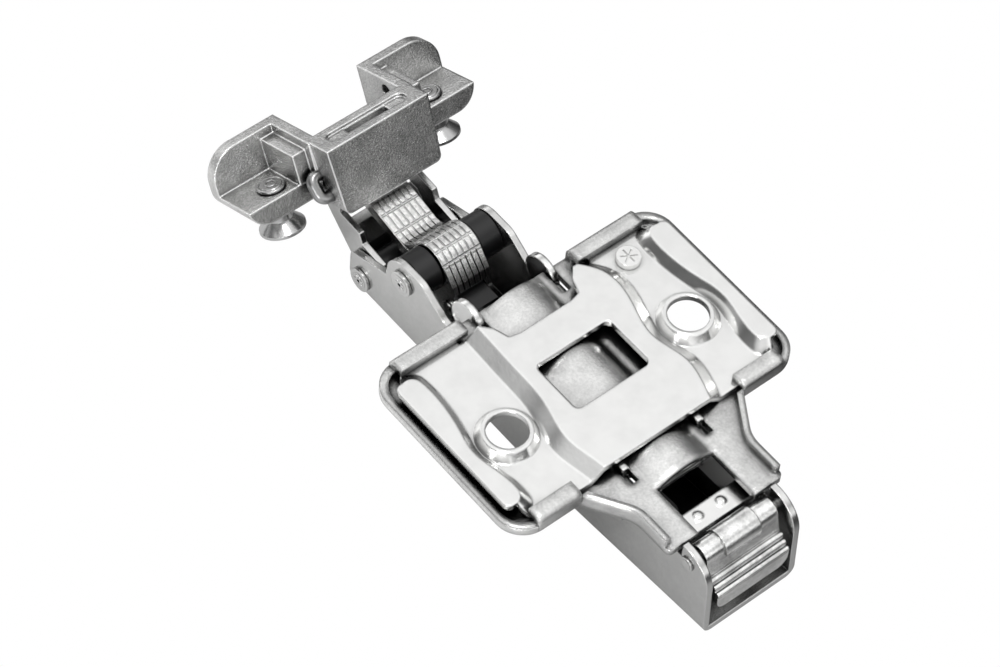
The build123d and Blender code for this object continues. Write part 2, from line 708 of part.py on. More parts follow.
# Laminated inner link: the two outer leaves carry a tail for the damper pin
for index in range(leaf_count):
    outermost = index in (0, leaf_count - 1)
    start_y = stack_half_width - leaf_sheet * index
    with BuildPart() as leaf:
        with BuildSketch(link_plane(start_y - leaf_edge)) as profile:
            with BuildLine():
                eye_low = -leaf_top_drop - leaf_bar
                neck_left = inner_link_length - leaf_door_eye_r
                neck_right = neck_left + leaf_neck
                Polyline(
                    (0, -leaf_eye_r * 0.98),
                    (4.6, eye_low),
                    (neck_right - 0.7, eye_low),
                    (neck_right, eye_low + 0.7),
                    (neck_right, -2.2),
                    (inner_link_length + leaf_door_eye_r, 0),
                    (neck_left, 0),
                    (neck_left, -leaf_top_drop),
                    (2.0, -leaf_top_drop),
                    (0, 0),
                    close=True,
                )
            make_face()
            Circle(leaf_eye_r)
            with Locations((inner_link_length, 0)):
                Circle(leaf_door_eye_r)
            blend_x = sqrt(leaf_eye_r**2 - leaf_top_drop**2)
            blend = profile.vertices().sort_by_distance((blend_x, -leaf_top_drop))[0]
            fillet(blend, 1.6)
            fillet(profile.vertices().sort_by_distance((neck_left, -leaf_top_drop))[0], 0.5)
            if outermost:
                with Locations((tail_pin_p, tail_pin_q)):
                    Circle(tail_eye_r)
                with BuildLine():
                    Polyline(
                        (0, leaf_eye_r * 0.7),
                        (-leaf_eye_r * 0.85, leaf_eye_r * 0.45),
                        (tail_pin_p - tail_eye_r * 0.95, tail_pin_q + tail_eye_r * 0.3),
                        (tail_pin_p + tail_eye_r * 0.6, tail_pin_q - tail_eye_r * 0.8),
                        (leaf_eye_r * 0.3, -leaf_eye_r * 0.94),
                        close=True,
                    )
                make_face()
            else:
                # Cut edge behind the pin
                with Locations((-leaf_eye_r * 0.94, 0)):
                    Rectangle(2, 12, align=(Align.MAX, Align.CENTER), mode=Mode.SUBTRACT)
        extrude(amount=leaf_sheet - 2 * leaf_edge)
        # The same outline a little smaller gives the blanked edge its relief
        with BuildSketch(link_plane(start_y)):
            offset(profile.sketch_local, amount=-leaf_edge)
        extrude(amount=leaf_sheet)
        with BuildSketch(link_plane(start_y)):
            Circle(leaf_play_hole_r)
            with Locations((inner_link_length, 0)):
                Circle(door_pin_r + fit)
            if outermost:
                with Locations((tail_pin_p, tail_pin_q)):
                    Circle(link_pin_r + fit)
            # Cross grooves, along the flat and round the eye
            for groove in flat_grooves:
                with Locations((groove, -leaf_top_drop)):
                    Circle(groove_r)
            with PolarLocations(leaf_eye_r, eye_grooves, eye_groove_start, eye_groove_span):
                Circle(groove_r)
        extrude(amount=leaf_sheet, mode=Mode.SUBTRACT)
    write(leaf, f"inner_link_leaf_{index + 1}")

# Outer link: a channel whose plates pass outside the laminated link
with BuildPart() as outer_link:
    ax, az = outer_pivot
    cx, cz = outer_door_x, outer_door_z
    with BuildSketch(side_plane()) as plate:
        with BuildLine():
            Polyline(
                (ax - 3.4, az + 4.6),
                (ax + 1.7, az + 5.2),
                (ax + 2.5, az + 6.8),
                (cx - outer_link_eye_r - 0.1, az + 7.2),
                (cx - outer_link_eye_r, cz),
                (cx + outer_link_eye_r, cz),
                (cx + outer_link_eye_r * 0.9, cz - 3.0),
                (ax + 9.4, az + 6.0),
                (ax + 4.2, az + 1.3),
                (ax + 2.2, az - 0.9),
                (ax, az - 2.2),
                (ax - 2.1, az - 0.8),
                close=True,
            )
        make_face()
        fillet(plate.vertices().sort_by_distance((ax - 3.4, az + 4.6))[0], 1.0)
        with Locations((ax, az)):
            Circle(2.2)
        with Locations((cx, cz)):
            Circle(outer_link_eye_r)
        with Locations((ax, az)):
            Circle(outer_pin_r + fit, mode=Mode.SUBTRACT)
        with Locations((cx, cz)):
            Circle(door_pin_r + fit, mode=Mode.SUBTRACT)
        # Way for the other leg of the bent pin, which swings round this eye
        leg_angle = degrees(atan2(door_z - cz, door_x - cx))
        leg_path = Edge.make_circle(
            hypot(pin_gap_u, pin_gap_v),
            Plane((cx, cz, 0)),
            start_angle=leg_angle - closing_angle - 3,
            end_angle=leg_angle + opening_angle + 3,
        )
        SlotArc(leg_path, 2 * (door_pin_r + seat_gap), mode=Mode.SUBTRACT)
    extrude(amount=outer_half_width, both=True)
    with BuildSketch(side_plane()):
        with BuildLine():
            # Inner face of the web, one sheet behind the front edge, and clear above it
            Polyline(
                (ax + 1.6, az - 3.5),
                (ax + 3.3, az + 1.9),
                (ax + 5.6, az + 4.0),
                (ax + 9.0, az + 4.0),
                (ax + 30, az + 4.0),
                (ax + 30, az + 30),
                (ax - 30, az + 30),
                (ax - 30, az - 3.5),
                close=True,
            )
        make_face()
    extrude(amount=outer_half_width - outer_sheet, both=True, mode=Mode.SUBTRACT)
write(outer_link, "outer_link")

# Door fitting
with BuildPart() as door_fitting:
    # Ears: a rounded block each side, cut back to a floor and a front wall
    for side in (1, -1):
        with BuildSketch(fitting_front_plane(ear_rear_u)) as ear:
            with Locations((side * side_wall_half_width, ear_bottom_v)):
                Rectangle(
                    ear_half_width - side_wall_half_width,
                    box_top_v - ear_bottom_v,
                    align=(Align.MIN if side > 0 else Align.MAX, Align.MIN),
                )
            ends = ear.vertices().sort_by(Axis.X)
            ends = ends[-2:] if side > 0 else ends[:2]
            fillet(ends.sort_by(Axis.Y)[-1], ear_top_r)
            ends = ear.vertices().filter_by(lambda p: p.Y < ear_bottom_v + 0.01).sort_by(Axis.X)
            fillet(ends[-1] if side > 0 else ends[0], ear_bottom_r)
        extrude(amount=ear_front_u - ear_rear_u)
        with BuildSketch(fitting_floor_plane(ear_floor_v)):
            with Locations((ear_rear_u, side * (side_wall_half_width + side_wall))):
                Rectangle(
                    ear_front_u - ear_wall - ear_rear_u,
                    ear_half_width,
                    align=(Align.MIN, Align.MIN if side > 0 else Align.MAX),
                )
        extrude(amount=box_top_v - ear_floor_v, mode=Mode.SUBTRACT)
        with BuildSketch(fitting_floor_plane(ear_floor_v)):
            with Locations((ear_rear_u - 0.3, side * side_wall_half_width)):
                Rectangle(
                    gusset_front_u - ear_rear_u + 0.3,
                    gusset_half_width - side_wall_half_width,
                    align=(Align.MIN, Align.MIN if side > 0 else Align.MAX),
                )
        extrude(amount=gusset_top_v - ear_floor_v)
        with BuildSketch(fitting_floor_plane(ear_floor_v)):
            with Locations((screw_u, side * screw_y)):
                Circle(screw_r + fit)
        extrude(amount=ear_bottom_v - ear_floor_v, mode=Mode.SUBTRACT)
    # Box between the ears: rear wall, roof and side walls, open below and in front
    with BuildSketch(fitting_front_plane(box_rear_u)) as box_face:
        with BuildLine():
            low = box_half_width - box_draft
            Polyline(
                (-low, box_bottom_v),
                (-box_half_width, box_top_v),
                (box_half_width, box_top_v),
                (low, box_bottom_v),
                close=True,
            )
        make_face()
        fillet(box_face.vertices().group_by(Axis.Y)[0], 1.0)
    extrude(amount=box_front_u - box_rear_u)
    with BuildSketch(fitting_floor_plane(ear_bottom_v)):
        with Locations((box_front_u - 1, 0)):
            for side in (1, -1):
                with Locations((0, side * side_wall_half_width)):
                    Rectangle(
                        ear_front_u - box_front_u + 1,
                        side_wall,
                        align=(Align.MIN, Align.MIN if side > 0 else Align.MAX),
                    )
    extrude(amount=box_top_v - ear_bottom_v)
    with BuildSketch(fitting_plane()):
        with Locations((box_rear_u + box_wall, box_bottom_v - 1)):
            Rectangle(10, box_top_v - box_roof - box_bottom_v + 1, align=(Align.MIN, Align.MIN))
    extrude(amount=box_inner_half_width, both=True, mode=Mode.SUBTRACT)
    # Recess in the roof with its opening
    with BuildSketch(fitting_floor_plane(box_top_v)):
        with Locations(((slot_rear_u + slot_front_u) / 2, 0)):
            RectangleRounded(slot_front_u - slot_rear_u, 2 * slot_half_width, 1.1)
    extrude(amount=-slot_depth, mode=Mode.SUBTRACT)
    with BuildSketch(fitting_floor_plane(box_top_v)):
        with Locations(((slot_rear_u + slot_front_u) / 2, 0)):
            Rectangle(slot_front_u - slot_rear_u - 0.4, 2 * through_half_width)
    extrude(amount=-box_roof, mode=Mode.SUBTRACT)
    # Holes for the bent pin and the cast holes in the side walls
    with BuildSketch(fitting_plane()):
        Circle(door_pin_r + fit)
        with Locations((pin_gap_u, pin_gap_v)):
            Circle(door_pin_r + fit)
    extrude(amount=ear_half_width, both=True, mode=Mode.SUBTRACT)
    with BuildSketch(fitting_plane(-box_inner_half_width)):
        with Locations((5.6, 6.6)):
            Circle(1.1)
    extrude(amount=1.4, mode=Mode.SUBTRACT)
write(door_fitting, "door_fitting")

# Bent wire pin: both door pivots are legs of one U
with BuildPart() as door_fitting_pin:
    gap = hypot(pin_gap_u, pin_gap_v)
    along = atan2(pin_gap_v, pin_gap_u) - tilt
    bridge_y = box_half_width + wire_bend_r + fit
    wire_plane = Plane(
        origin=(door_x, 0, door_z),
        x_dir=(cos(along), 0, sin(along)),
        z_dir=(-sin(along), 0, cos(along)),
    )
    end_y = -bridge_y if wire_plane.y_dir.Y > 0 else bridge_y
    turn_y = -end_y
    with BuildLine(wire_plane) as wire:
        FilletPolyline((0, end_y), (0, turn_y), (gap, turn_y), (gap, end_y), radius=wire_bend_r)
    with BuildSketch(Plane(origin=wire.line @ 0, z_dir=wire.line % 0)):
        Circle(door_pin_r)
    sweep()
write(door_fitting_pin, "door_fitting_pin")

# Clamp screws, countersunk, driven from below and peened over the ear's floor
for side, label in ((1, "left_clamp_screw"), (-1, "right_clamp_screw")):
    with BuildPart() as screw:
        with BuildSketch(fitting_plane(side * screw_y)) as half:
            with BuildLine():
                Polyline(
                    (screw_u, screw_head_rim_v),
                    (screw_u + screw_head_r, screw_head_rim_v),
                    (screw_u + screw_head_r, screw_head_rim_v + 0.45),
                    (screw_u + screw_r, screw_head_rim_v + 0.45 + (screw_head_r - screw_r)),
                    (screw_u + screw_r, screw_end_v - 0.4),
                    (screw_u + screw_r - 0.4, screw_end_v),
                    (screw_u, screw_end_v),
                    close=True,
                )
            make_face()
        axis_origin = fitting_plane(side * screw_y).from_local_coords(Vector(screw_u, 0, 0))
        revolve(axis=Axis(axis_origin, (sin(tilt), 0, cos(tilt))))
        with BuildSketch(fitting_floor_plane(screw_head_rim_v)):
            with Locations((screw_u, side * screw_y)):
                Rectangle(3.4, 0.8)
                Rectangle(0.8, 3.4)
        extrude(amount=1.3, mode=Mode.SUBTRACT)
    write(screw, label)

# Release lever: three barrels on the lever pin, a bent plate with finger ribs and a rounded lip
with BuildPart() as release_lever:
    px, pz = lever_pin_x, lever_pin_z
    rib_top = Vector(px - lever_step_top, pz - lever_step_drop)
    rib_low = rib_top + Vector(-lever_step, -lever_step)
    with BuildSketch(side_plane()) as section:
        with BuildLine():
            Polyline(
                (px - lever_barrel_r, pz),
                (rib_top.X, rib_top.Y),
                (rib_low.X, rib_low.Y),
                (rib_low.X, lever_end_z),
                (rib_low.X + lever_sheet, lever_end_z),
                (rib_low.X + lever_sheet, rib_low.Y - lever_sheet / 2),
                (rib_top.X + lever_sheet, rib_top.Y - lever_sheet / 2),
                (px, pz - lever_pin_r / 2),
                close=True,
            )
        make_face()
        with Locations((px, pz)):
            Circle(lever_barrel_r)
            Circle(lever_pin_r + fit, mode=Mode.SUBTRACT)
        for step in range(rib_count):
            place = rib_top + (rib_low - rib_top) * ((step + 0.5) / rib_count)
            with Locations((place.X, place.Y)):
                Circle(rib_r)
    extrude(amount=lever_half_width, both=True)
    # The middle barrel is larger and hides the coil spring
    with BuildSketch(side_plane()):
        with Locations((px, pz)):
            Circle(lever_middle_r)
    extrude(amount=lever_gap_half_width, both=True)
    with BuildSketch(side_plane()):
        with Locations((px, pz)):
            Circle(lever_pin_r + lever_coil + fit)
    extrude(amount=lever_gap_half_width, both=True, mode=Mode.SUBTRACT)
    lip_edges = release_lever.edges().filter_by(Axis.X).sort_by(Axis.Z)[0:2]
    fillet(lip_edges, lever_corner_r)
write(release_lever, "release_lever")

# Coil spring that holds the lever shut, wound round the lever pin, with one leg on the lever
with BuildPart() as lever_spring:
    with BuildSketch(side_plane(y=lever_gap_half_width - 0.1)) as coil:
        with Locations((px, pz)):
            Circle(lever_pin_r + lever_coil)
            Circle(lever_pin_r + fit, mode=Mode.SUBTRACT)
    extrude(amount=2 * lever_gap_half_width - 0.2)
    turns = 7
    pitch = (2 * lever_gap_half_width - 0.2) / turns
    for turn in range(1, turns):
        with BuildSketch(side_plane(y=lever_gap_half_width - 0.1 - turn * pitch + 0.12)):
            with Locations((px, pz)):
                Circle(lever_pin_r + lever_coil + 1)
                Circle(lever_pin_r + lever_coil - 0.25, mode=Mode.SUBTRACT)
        extrude(amount=0.24, mode=Mode.SUBTRACT)
write(lever_spring, "lever_spring")

# Damper: housing, cylinder, piston rod, slider and the pin in the link's tails
with BuildPart() as damper_housing:
    with BuildSketch(Plane.YZ.offset(housing_rear_x)) as block:
        low = arm_bottom_front + arm_sheet + 0.02
        with Locations((0, low)):
            half_width = wall_outer - adapter_sheet - 0.1
            Rectangle(2 * half_width, housing_top - low, align=(Align.CENTER, Align.MIN))
        fillet(block.vertices().group_by(Axis.Y)[-1], 2.0)
        with Locations((0, damper_z)):
            Circle(cylinder_r + fit, mode=Mode.SUBTRACT)
    extrude(amount=housing_front_x - housing_rear_x)
write(damper_housing, "damper_housing")

with BuildPart() as damper_cylinder:
    with BuildSketch(Plane.YZ.offset(housing_rear_x + cylinder_set_in)):
        with Locations((0, damper_z)):
            Circle(cylinder_r)
    extrude(amount=housing_front_x - housing_rear_x)
    with BuildSketch(Plane.YZ.offset(housing_rear_x + cylinder_set_in + cylinder_wall)):
        with Locations((0, damper_z)):
            Circle(cylinder_bore_r)
    extrude(amount=housing_front_x - housing_rear_x - 2 * cylinder_wall, mode=Mode.SUBTRACT)
    with BuildSketch(Plane.YZ.offset(housing_front_x - cylinder_mouth)):
        with Locations((0, damper_z)):
            Circle(rod_r + fit)
    extrude(amount=cylinder_mouth_length, mode=Mode.SUBTRACT)
write(damper_cylinder, "damper_cylinder")

tail_x = inner_pivot[0] + tail_pin_p * cos(lean) - tail_pin_q * sin(lean)
tail_z = inner_pivot[1] + tail_pin_p * sin(lean) + tail_pin_q * cos(lean)
with BuildPart() as damper_rod:
    with BuildSketch(Plane.YZ.offset(housing_front_x - piston_set_in)):
        with Locations((0, damper_z)):
            Circle(cylinder_bore_r - fit)
    extrude(amount=piston_length)
    with BuildSketch(Plane.YZ.offset(housing_front_x - rod_set_in)):
        with Locations((0, damper_z)):
            Circle(rod_r)
    extrude(amount=slider_rear_x - rod_gap - housing_front_x + rod_set_in)
write(damper_rod, "damper_rod")

with BuildPart() as damper_slider:
    with BuildSketch(side_plane()) as body:
        with Locations((tail_x, tail_z)):
            Circle(slider_eye_r)
        with BuildLine():
            Polyline(
                (slider_rear_x, tail_z + slider_eye_r),
                (tail_x, tail_z + slider_eye_r),
                (tail_x, tail_z - slider_eye_r),
                (tail_x - slider_foot_rake, arm_bottom_front + arm_sheet + slider_lift),
                (slider_rear_x, arm_bottom_front + arm_sheet + slider_lift),
                close=True,
            )
        make_face()
        with Locations((tail_x, tail_z)):
            Circle(link_pin_r + fit, mode=Mode.SUBTRACT)
    extrude(amount=slider_half_width, both=True)
write(damper_slider, "damper_slider")

with BuildPart() as damper_link_pin:
    cross_pin(tail_x, tail_z, link_pin_r, stack_half_width + 0.05, link_pin_r + 0.3, 0.25)
write(damper_link_pin, "damper_link_pin")
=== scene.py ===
import json
import math

import bmesh
import bpy
from mathutils import Matrix, Vector


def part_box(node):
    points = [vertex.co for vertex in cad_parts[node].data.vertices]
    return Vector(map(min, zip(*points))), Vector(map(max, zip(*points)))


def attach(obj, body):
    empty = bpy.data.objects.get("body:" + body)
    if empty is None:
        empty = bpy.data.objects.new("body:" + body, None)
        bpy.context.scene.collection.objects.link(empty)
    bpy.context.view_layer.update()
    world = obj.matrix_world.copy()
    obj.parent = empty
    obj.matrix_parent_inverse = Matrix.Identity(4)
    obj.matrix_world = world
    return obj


MM = 0.001

# What all the plated metals share
STAIN_SIZE = 4.0                # mm across a faint stain in the plating
STAIN_RANGE = (0.35, 0.6)       # noise values that go from a full stain to clean metal
SPECK_RANGE = (0.38, 0.62)      # noise values that go from a pit of the grain to its top
GRAIN_HEIGHT = 0.2              # mm of relief at full grain strength
DARKEST_PAINTED_SHADE = 0.1           # share of the colour left where the painted shade is darkest, deep in a crevice
EDGE_BEND = (0.97, 0.85)        # how far the rounded normal leans before the edge gets the painted highlight


def linear(code):
    """Linear colour of an sRGB hex code."""
    parts = [int(code[i:i + 2], 16) / 255 for i in (1, 3, 5)]
    return [c / 12.92 if c <= 0.04045 else ((c + 0.055) / 1.055) ** 2.4 for c in parts] + [1.0]


def add(tree, kind, settings=None, sockets=(), **links):
    """Adds a shader node, sets its properties and inputs, and links sockets to inputs by order or name."""
    node = tree.nodes.new(kind)
    for name, value in (settings or {}).items():
        if isinstance(name, int) or name in node.inputs:
            node.inputs[name].default_value = value
        else:
            setattr(node, name, value)
    for entry, socket in zip(node.inputs, sockets):
        tree.links.new(socket, entry)
    for name, socket in links.items():
        tree.links.new(socket, node.inputs[name.replace("_", " ")])
    return node


def ramp(node, stops):
    """Sets the stops of a colour ramp node to grey values."""
    band = node.color_ramp
    while len(band.elements) < len(stops):
        band.elements.new(0.5)
    for element, (place, grey) in zip(band.elements, stops):
        element.position = place
        element.color = (grey, grey, grey, 1)


def metal(name, colour, rough, rough_spread=0.05, grain=0.0, grain_mm=0.5, speck=0.0, mottle=0.06,
          edge_mm=0.12, edge_highlight=0.0, painted_shade_mm=2.0, inside_only=False, shut=0.3, clear=0.8):
    """A plated metal: soft edges with a painted highlight, uneven gloss, grain, faint stains and painted
    shade in crevices.
    """
    mat = bpy.data.materials.new(name)
    mat.use_nodes = True
    tree = mat.node_tree
    shader = tree.nodes["Principled BSDF"]
    shader.inputs["Metallic"].default_value = 1.0
    place = add(tree, "ShaderNodeTexCoord")

    # Stains and the pits of the grain darken the plating, and painted shade darkens it in crevices
    stain = add(
        tree, "ShaderNodeTexNoise", {"Scale": 1 / (STAIN_SIZE * MM), "Detail": 5, "Roughness": 0.6},
        Vector=place.outputs["Object"],
    )
    pale = add(
        tree, "ShaderNodeMapRange",
        {"From Min": STAIN_RANGE[0], "From Max": STAIN_RANGE[1], "To Min": 1 - mottle, "To Max": 1.0},
        Value=stain.outputs["Fac"],
    )
    # Painted shade: ambient occlusion darkens the colour in crevices and channels
    hollow = add(
        tree, "ShaderNodeAmbientOcclusion",
        {"samples": 8, "Distance": painted_shade_mm * MM, "only_local": inside_only},
    )
    open_air = add(
        tree, "ShaderNodeMapRange",
        {"From Min": shut, "From Max": clear, "To Min": DARKEST_PAINTED_SHADE, "To Max": 1.0},
        Value=hollow.outputs["AO"],
    )
    shade = add(
        tree, "ShaderNodeMath", {"operation": "MULTIPLY"},
        (pale.outputs["Result"], open_air.outputs["Result"]),
    )
    fine = add(
        tree, "ShaderNodeTexNoise", {"Scale": 1 / (grain_mm * MM), "Detail": 4, "Roughness": 0.65},
        Vector=place.outputs["Object"],
    )
    dots = add(
        tree, "ShaderNodeMapRange",
        {"From Min": SPECK_RANGE[0], "From Max": SPECK_RANGE[1], "To Min": 1 - speck, "To Max": 1.0},
        Value=fine.outputs["Fac"],
    )
    dotted = add(
        tree, "ShaderNodeMath", {"operation": "MULTIPLY"},
        (shade.outputs["Value"], dots.outputs["Result"]),
    )
    tint = add(
        tree, "ShaderNodeMixRGB", {"blend_type": "MULTIPLY", "Fac": 1.0, "Color1": linear(colour)},
        Color2=dotted.outputs["Value"],
    )

    # Edges are rounded, and a painted highlight lightens them towards white
    rounded = add(tree, "ShaderNodeBevel", {"Radius": edge_mm * MM, "samples": 6})
    flat = add(tree, "ShaderNodeNewGeometry")
    bend = add(
        tree, "ShaderNodeVectorMath", {"operation": "DOT_PRODUCT"},
        (rounded.outputs["Normal"], flat.outputs["True Normal"]),
    )
    # Painted highlight: the more the rounded normal leans away, the whiter the colour
    painted_edge_highlight = add(
        tree, "ShaderNodeMapRange",
        {"From Min": EDGE_BEND[0], "From Max": EDGE_BEND[1], "To Min": 0.0, "To Max": edge_highlight},
        Value=bend.outputs["Value"],
    )
    bright = add(
        tree, "ShaderNodeMixRGB", {"Color2": (1, 1, 1, 1)},
        Color1=tint.outputs["Color"], Fac=painted_edge_highlight.outputs["Result"],
    )
    tree.links.new(bright.outputs["Color"], shader.inputs["Base Color"])

    # The gloss varies with the stains, and the grain stands out of the surface
    gloss = add(
        tree, "ShaderNodeMapRange", {"To Min": rough - rough_spread, "To Max": rough + rough_spread},
        Value=stain.outputs["Fac"],
    )
    tree.links.new(gloss.outputs["Result"], shader.inputs["Roughness"])
    bump = add(
        tree, "ShaderNodeBump", {"Strength": grain, "Distance": GRAIN_HEIGHT * MM},
        Height=fine.outputs["Fac"], Normal=rounded.outputs["Normal"],
    )
    tree.links.new(bump.outputs["Normal"], shader.inputs["Normal"])
    return mat


def plastic(name, colour, rough):
    """A plain moulded plastic."""
    mat = bpy.data.materials.new(name)
    mat.use_nodes = True
    shader = mat.node_tree.nodes["Principled BSDF"]
    shader.inputs["Base Color"].default_value = linear(colour)
    shader.inputs["Roughness"].default_value = rough
    return mat


def paint(node, mat):
    """Gives a CAD node's object one material."""
    mesh = frame["nodes"][node].data
    mesh.materials.clear()
    mesh.materials.append(mat)


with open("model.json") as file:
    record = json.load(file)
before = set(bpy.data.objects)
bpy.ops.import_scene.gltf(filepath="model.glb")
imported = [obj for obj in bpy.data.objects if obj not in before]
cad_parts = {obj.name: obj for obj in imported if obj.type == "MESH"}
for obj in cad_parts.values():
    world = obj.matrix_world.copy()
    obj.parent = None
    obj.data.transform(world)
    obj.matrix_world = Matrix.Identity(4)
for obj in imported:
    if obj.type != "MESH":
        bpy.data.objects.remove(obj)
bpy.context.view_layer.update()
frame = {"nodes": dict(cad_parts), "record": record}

# Nickel-plated pressed sheet: bright and even, with wide soft edges
plate_steel = metal(
    "plate_steel", "#ECECEB", rough=0.16, rough_spread=0.04, grain=0.04, grain_mm=0.8, edge_mm=0.5,
)

# Nickel-plated folded sheet: satin, with painted shade that makes the inside of the channel nearly black
# and a painted highlight on its edges
arm_steel = metal(
    "arm_steel", "#DADAD9", rough=0.22, grain=0.05, grain_mm=0.6, speck=0.06, edge_mm=0.3, edge_highlight=0.5,
    painted_shade_mm=14.0, inside_only=True, shut=0.5, clear=0.97,
)

# Nickel-plated blanked leaves: a stack of grainy cut edges, with painted shade making thin dark lines
# between them
link_steel = metal(
    "link_steel", "#ECECEB", rough=0.2, rough_spread=0.06, grain=0.12, grain_mm=0.35, speck=0.25,
    edge_mm=0.1, painted_shade_mm=0.8,
)

# Nickel-plated turned steel: smooth bright heads
pin_steel = metal("pin_steel", "#E0E0DF", rough=0.2, grain=0.06, edge_mm=0.2)

# Nickel-plated screws: a shade darker than the pins
screw_steel = metal("screw_steel", "#B4B4B4", rough=0.22, grain=0.06)

# Spring wire: dark and dull
spring_steel = metal("spring_steel", "#6A6A6C", rough=0.35, grain=0.03)

# Nickel-plated zinc casting: a pitted grain, cloudy stains, painted shade in the crevices and painted
# highlights on the edges
cast_zinc = metal(
    "cast_zinc", "#DEDEDD", rough=0.18, grain=0.3, grain_mm=0.3, speck=0.35, mottle=0.25,
    edge_mm=0.45, edge_highlight=0.9, painted_shade_mm=1.8, shut=0.2, clear=0.8,
)

# Drawn aluminium tube: plain satin
damper_shell = metal("damper_shell", "#A0A0A2", rough=0.35, grain=0.02)

# Moulded black acetal: smooth, with a soft sheen
black_plastic = plastic("black_plastic", "#0A0A0B", rough=0.38)

slots = {
    "plate_steel": plate_steel,
    "arm_steel": arm_steel,
    "link_steel": link_steel,
    "pin_steel": pin_steel,
    "screw_steel": screw_steel,
    "spring_steel": spring_steel,
    "cast_zinc": cast_zinc,
    "damper_shell": damper_shell,
    "black_plastic": black_plastic,
}
for part in frame["record"]["subparts"]:
    paint(part["node"], slots[part["material_slot"]])

# Nickel-plated pressed lever: the brightest sheet, with stains from the plating bath
lever_steel = metal(
    "lever_steel", "#F8F8F7", rough=0.25, rough_spread=0.06, grain=0.15, speck=0.12, mottle=0.35,
    edge_mm=0.25,
)

# Drawn wire: duller and darker than the casting beside it
hook_steel = metal("hook_steel", "#9C9C9C", rough=0.28, grain=0.06)

# Nickel-plated pressed carriage: grainy, with rounded folds and shade below the base plate
carriage_steel = metal(
    "carriage_steel", "#E4E4E3", rough=0.18, grain=0.12, grain_mm=0.4, speck=0.12, mottle=0.2,
    edge_mm=1.3, painted_shade_mm=3.0, shut=0.35, clear=0.95,
)

# Peened steel head: bright, with hardly any shade in its star
rivet_steel = metal("rivet_steel", "#F2F2F1", rough=0.2, grain=0.1, mottle=0.1, edge_mm=0.1, painted_shade_mm=0.1)

paint("release_lever", lever_steel)
paint("height_eccentric", rivet_steel)
paint("carriage_plate", carriage_steel)
paint("door_fitting_pin", hook_steel)


# Places in the frame, in mm: pivots in the side plane, and the door fitting's own directions
ARM_PIVOT = Vector((31.6, 0, -7.9))
LINK_ANGLE = math.radians(11.66)
FITTING_PIVOT = Vector((47.6028, 0, -4.5976))
TILT = math.radians(25.3)
FORWARD = Vector((math.cos(TILT), 0, -math.sin(TILT)))
UPWARD = Vector((math.sin(TILT), 0, math.cos(TILT)))
ACROSS = Vector((0, 1, 0))


def in_link(along, over):
    """A point of the inner link's side plane, from the arm pivot."""
    cos, sin = math.cos(LINK_ANGLE), math.sin(LINK_ANGLE)
    return ARM_PIVOT + Vector((along * cos - over * sin, 0, along * sin + over * cos))


def in_fitting(forward, across, upward):
    """A point of the door fitting, from its inner pivot."""
    return FITTING_PIVOT + forward * FORWARD + across * ACROSS + upward * UPWARD


def finish_piece(name, bm, body, mat):
    """Makes a bmesh in millimetres into a piece of one finish that rides on a body."""
    bmesh.ops.recalc_face_normals(bm, faces=bm.faces)
    bmesh.ops.scale(bm, vec=(MM, MM, MM), verts=bm.verts)
    mesh = bpy.data.meshes.new(name)
    bm.to_mesh(mesh)
    bm.free()
    piece = bpy.data.objects.new(name, mesh)
    bpy.context.scene.collection.objects.link(piece)
    mesh.materials.append(mat)
    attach(piece, body)


def soften(bm, edges, width):
    """Rounds edges."""
    bmesh.ops.bevel(bm, geom=edges, offset=width, segments=2, profile=0.5, affect="EDGES", material=-1)


def slab(bm, outline, start_y, width, rounding):
    """Adds a flat piece with the given outline in the side plane and softened rims."""
    corners = [bm.verts.new((point.x, start_y, point.z)) for point in outline]
    side = bm.faces.new(corners)
    grown = bmesh.ops.extrude_face_region(bm, geom=[side])
    far = [item for item in grown["geom"] if isinstance(item, bmesh.types.BMVert)]
    bmesh.ops.translate(bm, vec=(0, width, 0), verts=far)
    edges = [edge for vert in corners + far for edge in vert.link_edges]
    rims = [edge for edge in edges if abs(edge.verts[0].co.y - edge.verts[1].co.y) < 0.001]
    soften(bm, list(set(rims)), rounding)


# Leaf edges beside the arm's eye: the dip in front of it and the slope behind it
LEAF_SHEET = 0.96
LEAF_COUNT = 7
LEAF_GAP = 0.08
LEAF_ROUNDING = 0.06
FRONT_DIP = [
    (3.4, 1.6), (3.6, 1.25), (4.6, -1.07), (4.95, -1.72), (5.45, -2.18), (6.4, -2.47),
    (6.3, -3.0), (2.85, -3.0), (2.85, 1.6),
]
REAR_SLOPE = [
    (-2.2, 3.08), (-4.9, 1.01), (-5.7, -0.1), (-5.5, -1.2),
    (-3.0, -1.4), (-2.85, 0.5), (-1.75, 2.25),
]
for number in range(LEAF_COUNT):
    start = (LEAF_COUNT / 2 - number - 1) * LEAF_SHEET + LEAF_GAP
    bm = bmesh.new()
    for outline in (FRONT_DIP, REAR_SLOPE):
        slab(bm, [in_link(*point) for point in outline], start, LEAF_SHEET - 2 * LEAF_GAP, LEAF_ROUNDING)
    finish_piece(f"leaf_shoulder_{number + 1}", bm, "inner_link", link_steel)


# Peened stars on the heads of the arm's pins
STAR_BARS = 3
STAR_TURN = 15                  # degrees
STAR_SHARE = 0.5                # of the head's width
STAR_BAR_SHARE = 0.24           # of the star's width
STAR_HEIGHT = 0.14
STAR_ROUNDING = 0.05


def star_mark(bm, centre, size):
    """Adds the raised star of a peened head, low bars across each other."""
    for number in range(STAR_BARS):
        turn = math.radians(180 / STAR_BARS * number + STAR_TURN)
        bar = bmesh.ops.create_cube(bm, size=1)["verts"]
        bmesh.ops.scale(bm, vec=(size, STAR_HEIGHT, size * STAR_BAR_SHARE), verts=bar)
        bmesh.ops.rotate(bm, matrix=Matrix.Rotation(turn, 3, "Y"), verts=bar)
        bmesh.ops.translate(bm, vec=centre, verts=bar)


